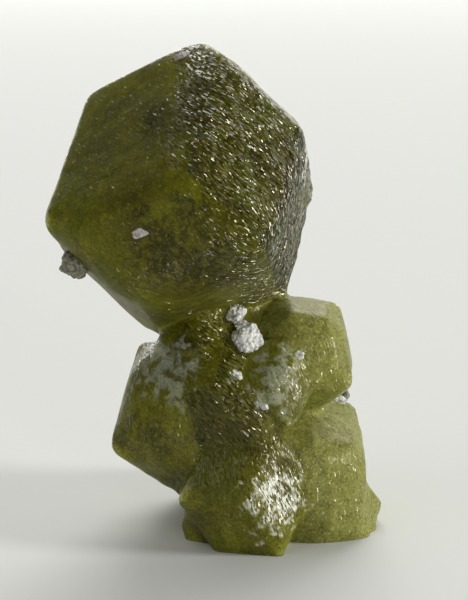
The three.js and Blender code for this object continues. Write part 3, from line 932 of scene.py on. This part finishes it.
def new_material(name):
    """A material with an empty tree, and a wire to start its nodes from."""
    material = bpy.data.materials.new(name)
    material.use_nodes = True
    material.node_tree.nodes.clear()
    return material, Wire(material.node_tree)


def finish_material(start, shader, volume=None):
    """Puts the shader, and the volume if there is one, on the material's output."""
    sockets = {"Surface": shader} if volume is None else {"Surface": shader, "Volume": volume}
    output = start.tree.nodes.new("ShaderNodeOutputMaterial")
    for key, wire in sockets.items():
        start.tree.links.new(wire.socket, output.inputs[key])


print("a mid olive is", np.round(linear(76, 77, 34), 3))

# %% [markdown]
# The garnet is translucent: light goes in, is coloured by iron and chromium, and is scattered by countless
# flaws and fine brown inclusions. Its colour is built up in layers, as a painter would: olive clouds,
# greener and browner stains where the inclusions sit, a pale grey-green patch, specks, and yellow-green
# where the crystal is clear. Light and shade are painted into it too: paler colour and a yellow-green glow
# where the crystal is thin, for the light from behind, darker in its thick middles, a grey sheen on the
# knob, and white highlights on the front crystal's bright face and along the big crystal's right rim. A spot
# is a place on the specimen and a size, and soft noise frays its rim.

# %% The garnet's colours
OLIVE_DARK = linear(78, 76, 8)
OLIVE = linear(142, 142, 14)
OLIVE_PALE = linear(166, 164, 44)
YELLOW_GREEN = linear(150, 151, 78)
# The painted glow of the light that comes through thin places and rim edges.
GLOWING = linear(240, 242, 130)
BROWN = linear(28, 22, 2)
BROWN_DARK = linear(32, 22, 4)
GREEN_DARK = linear(36, 40, 8)
GREEN = linear(66, 80, 10)
GRAIN_PALE = linear(122, 118, 56)
GRAIN_DARK = linear(34, 30, 8)
# The white of the painted highlights and painted sheen.
SHEEN_WHITE = linear(250, 250, 236)
GREY_GREEN = linear(178, 184, 174)
PALE_SPECK = linear(212, 212, 140)
SEEN_THROUGH = linear(216, 222, 120)
STAINS = [((-2.5, -4.1, 10.5), 0.7), ((-1.9, -4.2, 9.4), 1.6), ((-0.7, -4.3, 9.0), 1.8),
          ((-2.2, -2.7, 12.8), 0.8), ((-0.3, -3.9, 8.2), 1.4), ((-1.2, -4.4, 10.6), 0.9),
          ((-1.2, -1.3, 6.0), 1.0), ((-2.2, -2.2, 3.3), 0.9), ((-1.0, -2.4, 3.4), 0.8),
          ((-2.9, -1.2, 3.3), 1.3)]
# A pale grey-green patch on the left lobe, and a painted grey sheen on the knob.
PALE_AND_SHEEN_SPOTS = [((-2.1, -1.6, 5.35), 1.1), ((1.33, -2.1, 5.2), 1.2)]
# Painted white highlights: the front crystal's bright face, and two along the big crystal's right rim.
SHEEN_SPOTS = [((1.25, -2.5, 1.7), 1.15), ((2.1, -0.2, 11.3), 0.8), ((1.9, -0.1, 12.2), 0.7)]
GREEN_SPOTS = [((-4.3, -2.3, 9.9), 2.4), ((-3.6, -2.9, 8.6), 1.6), ((-0.8, -2.6, 2.2), 1.5)]
FRAYING = 3.5
STAIN_FADE = (0.1, 0.8)


def stained(start, where, fray, spots):
    """From 0 to 1: how much stain there is, the most of all spots. A spot's own stain is 1 less the distance
    from its middle in sizes, with the fraying noise added to it."""
    stain = None
    for middle, size in spots:
        away = start.vector("DISTANCE", where, tuple((np.array(middle) - MIDDLE) * MM), value=True)
        spot = (1 - away / (size * MM) + (fray - 0.5) * FRAYING).between(*STAIN_FADE)
        stain = spot if stain is None else start.math("MAXIMUM", stain, spot)
    return stain


print(len(STAINS), "brown stains,", len(GREEN_SPOTS), "green spots and",
      len(PALE_AND_SHEEN_SPOTS) + len(SHEEN_SPOTS), "pale or frosted ones")

# %% [markdown]
# On the rough faces each tiny facet has a shade of its own as well. The facets are the cells of a Voronoi
# pattern, which is stretched along the stripes of the face. The clouds, the mottling and the fine specks
# are three noises of different sizes, given by how many of their waves fit in a metre.

# %% The cloudy body's colour
FACET_LONG, FACET_WIDE = 0.12, 0.036
CLOUDS, MOTTLES, SPECKS = 650.0, 3200.0, 14000.0


def facet_cells(start, place):
    """Three random numbers for each cell of a Voronoi pattern drawn out along the stripes of a face."""
    stretched = start.vector("MULTIPLY", place, (1 / FACET_LONG, 1 / FACET_WIDE, 1))
    return start.node("ShaderNodeTexVoronoi", {}, {"Vector": stretched, "Scale": 1.0}, out=1)


def garnet_body(start, where, place):
    """The colour of the cloudy part: clouds and stains, then specks, then the shades of single facets."""
    rough, edge, glow, thin, clear = (start.attribute(name)
                                      for name in ("rough", "edge", "glow", "thin", "clear"))
    cloud = start.noise(where, CLOUDS, detail=4.0)
    mottle = start.noise(where, MOTTLES, detail=3.0)
    fine = start.noise(where, SPECKS, detail=2.0)
    # Clouds, paler where the crystal is thin and darker in its thick middle: painted light and painted shade
    # for the light that comes through. Then green spots and brown stains.
    body = (cloud * 0.8 + thin * 1.6).between(0.55, 1.05).mixed(OLIVE_DARK, OLIVE)
    body = (stained(start, where, cloud, GREEN_SPOTS) * 0.6).mixed(body, GREEN)
    body = (stained(start, where, mottle, STAINS) * 0.95).mixed(body, BROWN)
    # The rough faces are darker. The knob gets a painted grey sheen, and the left lobe a pale grey-green
    # patch.
    ribbed = (mottle * 0.5 + cloud * 0.5).between(0.44, 0.56).mixed(BROWN_DARK, GREEN_DARK)
    body = (rough * 0.8).mixed(body, ribbed)
    body = (stained(start, where, mottle, PALE_AND_SHEEN_SPOTS) * 0.7).mixed(body, GREY_GREEN)
    # Clear places are yellow-green, and thin ones get a painted yellow-green glow of the light from behind.
    body = (clear * (cloud * 0.7 + mottle * 0.5 + 0.3)).clamped().mixed(body, YELLOW_GREEN)
    body = (glow.between(0.06, 0.4) * 0.85 * (1 - rough * 0.7)).mixed(body, GLOWING)
    # Pale specks and dark ones.
    light_specks = (mottle.between(0.5, 0.72) * 0.3 + fine.between(0.55, 0.7) * 0.4) * (1 - rough * 0.8)
    body = light_specks.mixed(body, OLIVE_PALE)
    specks = (fine.between(0.48, 0.34) * 0.6 + mottle.between(0.5, 0.36) * 0.3).clamped()
    body = (specks * (1 - clear * 0.2)).mixed(body, OLIVE_DARK)
    # Single facets, paler or darker than the rest, and painted white highlights on single facets in the
    # sheen spots.
    shade = start.vector("DOT_PRODUCT", facet_cells(start, place), (0.5, 0.5, 0.0), value=True)
    body = (shade.between(0.6, 0.95) * (rough * 0.5 + 0.2)).mixed(body, GRAIN_PALE)
    body = (fine.between(0.56, 0.7) * clear * 0.45).mixed(body, PALE_SPECK)
    sheen = stained(start, where, mottle, SHEEN_SPOTS)
    body = (sheen * shade.between(0.3, 0.6) * 0.9).mixed(body, SHEEN_WHITE)
    body = (shade.between(0.4, 0.05) * (rough * 0.6 + 0.2) * (1 - clear * 0.6)).mixed(body, GRAIN_DARK)
    # The edges at the rim: pale chips, and a painted glow of the light that comes through them. On the rough
    # faces the rim edges get a painted white sheen as well.
    worn = edge.between(0.2, 0.9) * mottle.between(0.36, 0.56) * 0.5
    body = (worn * (1 - rough * 0.7)).mixed(body, GLOWING)
    # A painted white sheen along the rim edges of the rough faces.
    return (edge * rough * 0.3).mixed(body, SHEEN_WHITE)


print("a facet is", FACET_LONG, "mm long and", FACET_WIDE, "mm wide")

# %% [markdown]
# The facets are what sparkles: each cell of the stretched Voronoi pattern stands for one tiny mirror with a
# tilt of its own, and fine ribs run over them. Tilting the shading costs nothing, where a mesh of so many
# facets would need millions of triangles. A few lone facets glint on the smooth faces too.

# %% Tilts and ribs for the facets
STREAK_LONG, STREAK_WIDE = 0.4, 0.07


def facet_tilts(start, place, spread):
    """The surface's normal with a random tilt for each facet cell: the cell's three random numbers, less a
    half and times the spread, and the lean of the face are added to it."""
    tilt = start.vector("SCALE", start.vector("SUBTRACT", facet_cells(start, place), (0.5, 0.5, 0.5)),
                        scale=spread)
    normal = start.vector("ADD", start.node("ShaderNodeNewGeometry", out=1), start.attribute("lean", out=1))
    return start.vector("NORMALIZE", start.vector("ADD", normal, tilt))


def streaks(start, place):
    """Fine ribs along the stripes of a face, as a height from 0 to 1."""
    stretched = start.vector("MULTIPLY", place, (1 / STREAK_LONG, 1 / STREAK_WIDE, 1))
    return start.noise(stretched, 1.0, detail=1.0)


print("a rib is", STREAK_LONG, "mm long and", STREAK_WIDE, "mm wide")

# %% [markdown]
# The finish has two parts. The cloudy body lets some light through, which plain absorption colours. Over it
# lie the facets. How much of them shows follows the roughness of the face.

# %% The garnet's finish
GARNET_INDEX = 1.88
ABSORPTION = 1900.0
BUMP_HEIGHT = 0.03 * MM
TOOTH = 9000.0


def garnet_shader(start, where, place, colour):
    """The cloudy body, mixed with the facets by how much of them shows."""
    rough, clear = start.attribute("rough"), start.attribute("clear")
    grain = start.noise(where, TOOTH, detail=3.0)
    soft = start.node("ShaderNodeBump", {}, {"Strength": 0.3, "Distance": BUMP_HEIGHT, "Height": grain})
    body = start.node("ShaderNodeBsdfPrincipled", {}, {
        "Base Color": colour, "Roughness": 0.5 - rough * 0.1, "IOR": GARNET_INDEX,
        "Specular IOR Level": 0.03, "Specular Tint": (1.0, 0.94, 0.5, 1.0), "Transmission Weight": 0.28,
        "Normal": soft,
    })
    lone = start.vector("DOT_PRODUCT", facet_cells(start, place), (0.0, 0.0, 1.0), value=True)
    lone = lone.between(0.91, 0.95)
    tilted = facet_tilts(start, place, rough * 0.85 + lone * 0.6 + 0.12)
    glints = start.node("ShaderNodeBump", {}, {
        "Strength": 0.6, "Distance": BUMP_HEIGHT, "Height": streaks(start, place) + grain * 0.3,
        "Normal": tilted,
    })
    facets = start.node("ShaderNodeBsdfPrincipled", {}, {
        "Base Color": colour, "Roughness": 0.12, "IOR": GARNET_INDEX, "Specular IOR Level": 0.19,
        "Specular Tint": (1.0, 0.93, 0.7, 1.0), "Normal": glints,
    })
    shown = (rough * 1.5 - clear * 0.2 + lone * 0.35).clamped()
    return start.node("ShaderNodeMixShader", {}, {0: shown, 1: body, 2: facets})


def garnet_material():
    """The garnet's surface, over a volume that colours the light that crosses it."""
    material, start = new_material("garnet")
    where = start.node("ShaderNodeTexCoord", out=3)
    place = start.attribute("place", out=1)
    shader = garnet_shader(start, where, place, garnet_body(start, where, place))
    volume = start.node("ShaderNodeVolumeAbsorption", {}, {"Color": (*SEEN_THROUGH, 1),
                                                           "Density": ABSORPTION})
    finish_material(start, shader, volume)
    return material


garnet.data.materials.append(garnet_material())
print("the garnet's finish has", len(garnet.data.materials[0].node_tree.nodes), "nodes")

# %% [markdown]
# The crumbs are dull: pale grains, darker between them as painted shade in the pores, with darker dust, and
# no shine. The three kinds differ only in their two colours, so one function makes them all.

# %% The crumbs' finishes
CRUMB_COLOURS = {GREY: (linear(148, 148, 128), linear(50, 50, 36)),
                 WHITE: (linear(244, 243, 238), linear(130, 128, 110)),
                 LILAC: (linear(206, 200, 198), linear(130, 122, 106))}
CRUMB_GRAINS, CRUMB_DUST = 11000.0, 5000.0


def crumb_material(slot):
    """A dull surface: pale grains, going to the dark colour between them, which is painted shade, and under
    the dust.
    """
    material, start = new_material(slot)
    where = start.node("ShaderNodeTexCoord", out=3)
    grain = start.node("ShaderNodeTexVoronoi", {}, {"Vector": where, "Scale": CRUMB_GRAINS})
    dust = start.noise(where, CRUMB_DUST, detail=4.0)
    pore_shade_and_dust = (grain.between(0.25, 0.8) * 0.5 + dust.between(0.5, 0.72) * 0.5).clamped()
    bumped = start.node("ShaderNodeBump", {}, {"Strength": 0.7, "Distance": BUMP_HEIGHT, "Height": grain})
    shader = start.node("ShaderNodeBsdfPrincipled", {}, {
        "Base Color": pore_shade_and_dust.mixed(*CRUMB_COLOURS[slot]), "Roughness": 0.75, "Specular IOR Level": 0.3,
        "Normal": bumped,
    })
    finish_material(start, shader)
    return material


crumb_finishes = {slot: crumb_material(slot) for slot in CRUMB_COLOURS}
for name, crumb in crumbs.items():
    crumb.data.materials.append(crumb_finishes[CRUMBS[name][3]])
print("finishes for the crumbs:", ", ".join(crumb_finishes))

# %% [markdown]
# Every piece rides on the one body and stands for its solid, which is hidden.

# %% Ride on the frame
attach(garnet, "root")
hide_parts("garnet_crystals")
for name, crumb in crumbs.items():
    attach(crumb, "root")
    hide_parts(name)
print(1 + len(crumbs), "pieces ride on the root")

# %% [markdown]
# The specimen stands on a plain pale floor, which belongs to the stage and not to the part.

# %% Floor
FLOOR_COLOUR = linear(230, 231, 226)
FLOOR_HALF = 700.0


def floor():
    """A wide pale square at the base's height."""
    points = FLOOR_HALF * np.array([(-1, -1, 0), (1, -1, 0), (1, 1, 0), (-1, 1, 0)])
    thing = mesh_object("floor", points, [(0, 1, 2, 3)])
    material, start = new_material("floor")
    finish_material(start, start.node("ShaderNodeBsdfPrincipled", {}, {
        "Base Color": (*FLOOR_COLOUR, 1), "Roughness": 0.9, "Specular IOR Level": 0.1}))
    thing.data.materials.append(material)


floor()
print("the floor is", 2 * FLOOR_HALF, "mm wide")

# %% [markdown]
# Soft window light comes from the right and lights the sparkling faces, where a small front lamp adds the
# sharpest glints. Three wide, faint lamps behind and above show the outline and the left-hand faces. For
# each lamp the table gives its azimuth and elevation in degrees, its size in millimetres and its
# brightness.

# %% Lamps
CAMERA_TARGET = np.array([0.0, 0.0, 7.1]) - MIDDLE
LAMPS = {"key": (80, 16, 220, 42), "back": (170, 45, 660, 4), "back_left": (-166, 5, 420, 3),
         "top_left": (-60, 55, 550, 1.3), "front": (25, 4, 90, 70)}
LAMP_AWAY = 1000.0


def look_at(thing, place, target):
    """Puts a lamp or camera at a place and turns it so that its -Z axis points at the target."""
    thing.location = Vector(place * MM)
    way = Vector((target - place) * MM)
    thing.rotation_euler = way.to_track_quat("-Z", "Y").to_euler()


def soft_lamp(name, azimuth, elevation, size, brightness):
    """A square area lamp. Azimuth 0 is the camera's side, and 90 is to the right. A surface of brightness L
    and area A sends out the power pi L A."""
    azimuth, elevation = np.radians(azimuth), np.radians(elevation)
    way = np.array([np.sin(azimuth) * np.cos(elevation), -np.cos(azimuth) * np.cos(elevation),
                    np.sin(elevation)])
    data = bpy.data.lights.new(name, "AREA")
    data.size, data.energy = size * MM, np.pi * brightness * (size * MM) ** 2
    lamp = bpy.data.objects.new(name, data)
    bpy.context.scene.collection.objects.link(lamp)
    look_at(lamp, CAMERA_TARGET + LAMP_AWAY * way, CAMERA_TARGET)


for name, numbers in LAMPS.items():
    soft_lamp(name, *numbers)
print(len(LAMPS), "lamps:", ", ".join(LAMPS))

# %% [markdown]
# The surroundings are dark in front and pale behind, which keeps grey reflections off the faces and lets
# light come through from behind. They are a mix by how much a direction points to the bright side.

# %% Surroundings
BRIGHT_SIDE = (0.1, 0.97, -0.15)
WORLD_DARK, WORLD_BRIGHT = (0.1, 0.1, 0.1), (1.0, 1.0, 0.97)
BRIGHT_FADE = (0.0, 0.8)

world = bpy.data.worlds.new("studio")
world.use_nodes = True
world.node_tree.nodes.clear()
sky = Wire(world.node_tree)
behind = sky.vector("DOT_PRODUCT", sky.node("ShaderNodeTexCoord", out=0), BRIGHT_SIDE, value=True)
surround = behind.between(*BRIGHT_FADE).mixed(WORLD_DARK, WORLD_BRIGHT)
light = sky.node("ShaderNodeBackground", {}, {"Color": surround, "Strength": 1.0})
world_output = world.node_tree.nodes.new("ShaderNodeOutputWorld")
world.node_tree.links.new(light.socket, world_output.inputs["Surface"])
bpy.context.scene.world = world
bpy.context.scene.view_settings.view_transform = "Standard"
print("the surroundings have", len(world.node_tree.nodes), "nodes")

# %% [markdown]
# The camera looks down by 12 degrees from 50 mm away, through a long lens, as one would photograph so small
# a thing.

# %% Camera
CAMERA_AWAY = 50.0
CAMERA_TILT = np.radians(12)
LENS, SENSOR = 100, 36
NEAREST_SEEN = 1.0

camera_data = bpy.data.cameras.new("camera")
camera_data.lens, camera_data.sensor_width, camera_data.clip_start = LENS, SENSOR, NEAREST_SEEN * MM
camera = bpy.data.objects.new("camera", camera_data)
bpy.context.scene.collection.objects.link(camera)
back = np.array([0, -np.cos(CAMERA_TILT), np.sin(CAMERA_TILT)])
look_at(camera, CAMERA_TARGET + CAMERA_AWAY * back, CAMERA_TARGET)
bpy.context.scene.camera = camera
print("the camera stands at", np.round(np.array(camera.location) / MM, 1), "mm")

# %% [markdown]
